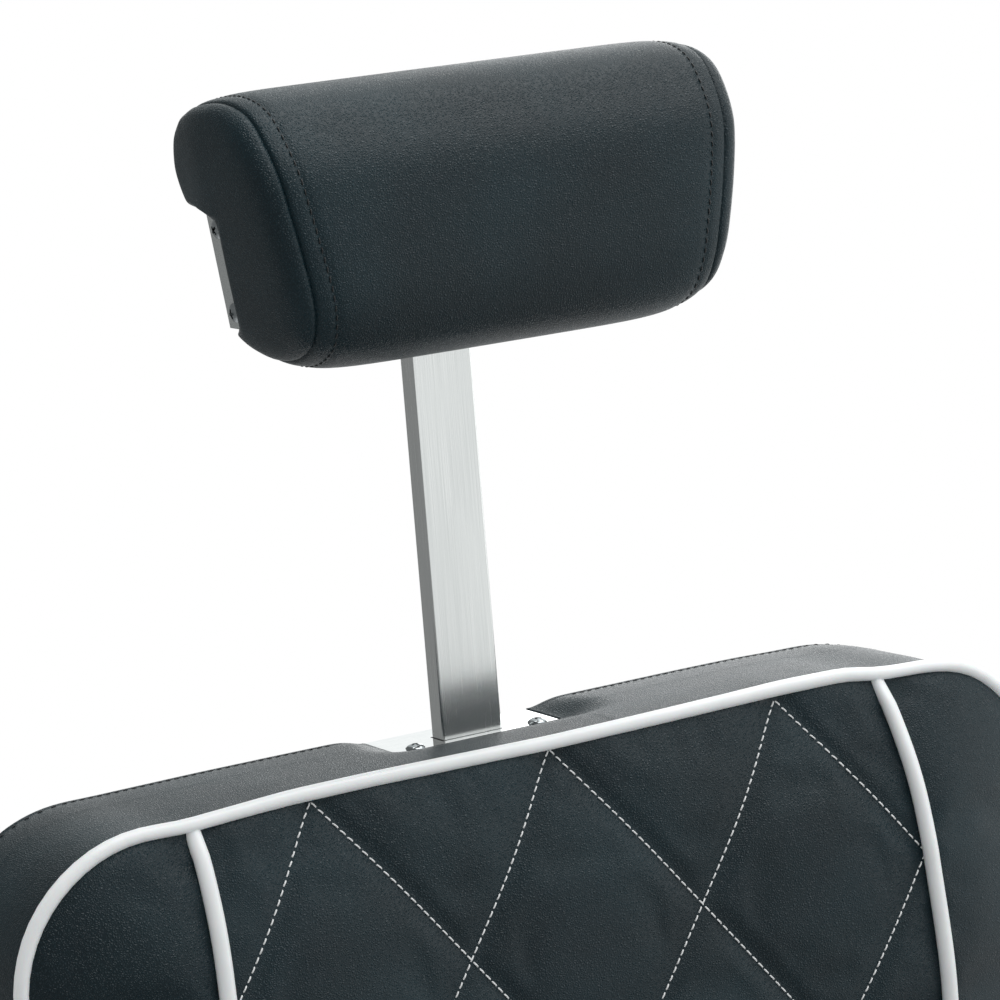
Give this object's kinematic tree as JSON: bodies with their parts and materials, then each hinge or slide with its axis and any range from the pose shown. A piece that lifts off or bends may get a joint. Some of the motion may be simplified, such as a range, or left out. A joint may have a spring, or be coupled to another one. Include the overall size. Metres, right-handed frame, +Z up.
{
  "type": "threading chair",
  "caption": "Reclining salon chair with a quilted back and seat, contrast piping, a sliding headrest on a flat bar, loop arms, a footrest and a hydraulic round base.",
  "frame": {"origin": "centre of the round base, on the floor, on the axis of the column", "axes": "+Z up along the column; the chair faces -Y; +X is to the sitter's left, across the seat"},
  "size_m": [0.632, 1.0318, 1.3164],
  "materials": {
    "vinyl": "embossed upholstery vinyl, satin",
    "piping": "off-white vinyl piping",
    "wood": "plywood and softwood, unpainted",
    "brushed": "stainless, brushed along its length",
    "polished": "mirror polished stainless",
    "frame_paint": "black satin powder coat",
    "zinc": "bright zinc plated",
    "iron": "dark machined iron",
    "brass": "turned, satin",
    "nylon": "natural nylon",
    "black_plastic": "moulded, fine texture",
    "black_rubber": "moulded rubber",
    "strut_tube": "black gas strut cylinder, satin"
  },
  "bodies": {
    "base": {"base_plate": "frame_paint", "edge_trim": "black_rubber", "base_cover": "polished", "pump_body": "iron", "pump_bolts": "zinc", "pump_shroud": "polished", "pump_collar": "black_plastic", "column_bush": "brass", "pedal_bracket": "iron", "pedal_pin": "zinc"},
    "pedal": {"pedal_arm": "polished", "pedal_pad": "black_rubber"},
    "column": {"piston_column": "polished", "thrust_washer": "brass"},
    "seat": {"seat_mount": "frame_paint", "rail_left": "frame_paint", "rail_right": "frame_paint", "front_crossbar": "frame_paint", "rear_crossbar": "frame_paint", "frame_bolts": "zinc", "seat_board": "wood", "seat_cushion": "vinyl", "seat_piping": "piping", "arm_frame_left": "brushed", "arm_frame_right": "brushed", "arm_pad_left": "vinyl", "arm_pad_right": "vinyl", "hinge_bracket_left": "frame_paint", "hinge_bracket_right": "frame_paint", "hinge_pins": "zinc", "strut_pin": "zinc", "footrest_bar_left": "brushed", "footrest_bar_right": "brushed", "footrest_pins": "zinc"},
    "foot_board": {"foot_plate": "brushed", "foot_treads": "black_rubber"},
    "gas_strut": {"strut_cylinder": "strut_tube"},
    "gas_rod": {"strut_rod": "polished"},
    "lever": {"recline_lever": "polished", "lever_knob": "black_plastic"},
    "backrest": {"back_iron_left": "frame_paint", "back_iron_right": "frame_paint", "back_cross_tube": "frame_paint", "crank_pin": "zinc", "back_board": "wood", "back_battens": "wood", "back_rear_panel": "vinyl", "back_cushion": "vinyl", "back_piping": "piping", "top_plate": "polished", "plate_screws": "zinc", "post_guide": "iron", "guide_sleeve": "nylon"},
    "headrest": {"headrest_post": "brushed", "headrest_tray": "brushed", "headrest_core": "wood", "headrest_cushion": "vinyl", "headrest_screws": "zinc", "headrest_bolts": "zinc"}
  },
  "joints": [
    {"name": "column_lift", "type": "slide", "parent": "base", "child": "column", "axis": [0, 0, 1], "range_m": [0, 0.15]},
    {"name": "seat_swivel", "type": "hinge", "parent": "column", "child": "seat", "pos_m": [0, 0, 0.3407], "axis": [0, 0, 1], "continuous": true},
    {"name": "back_recline", "type": "hinge", "parent": "seat", "child": "backrest", "pos_m": [0, 0.285, 0.425], "axis": [-1, 0, 0], "range_deg": [0, 40]},
    {"name": "headrest_height", "type": "slide", "parent": "backrest", "child": "headrest", "axis": [0, 0.153, 0.9882], "range_m": [-0.16, 0.03]},
    {"name": "strut_swing", "type": "hinge", "parent": "seat", "child": "gas_strut", "pos_m": [0, 0.078, 0.328], "axis": [1, 0, 0], "range_deg": [-0.5, 2.6]},
    {"name": "strut_stroke", "type": "slide", "parent": "gas_strut", "child": "gas_rod", "axis": [0, 0.9724, 0.2333], "range_m": [-0.0305, 0.001]},
    {"name": "foot_board_fold", "type": "hinge", "parent": "seat", "child": "foot_board", "pos_m": [0, -0.425, 0.16], "axis": [-1, 0, 0], "range_deg": [0, 90]},
    {"name": "pedal_press", "type": "hinge", "parent": "base", "child": "pedal", "pos_m": [0, 0.08, 0.095], "axis": [-1, 0, 0], "range_deg": [0, 10], "stiffness_Nm_per_rad": 20, "springref_deg": -11.46},
    {"name": "lever_lift", "type": "hinge", "parent": "seat", "child": "lever", "pos_m": [0, 0.066, 0.34], "axis": [-1, 0, 0], "range_deg": [0, 12], "stiffness_Nm_per_rad": 3, "springref_deg": -17.19}
  ],
  "couplings": [
    {"joint": "strut_swing", "follows": "back_recline", "ratio": 0.05043},
    {"joint": "strut_stroke", "follows": "back_recline", "m_per_rad": -0.042689}
  ]
}
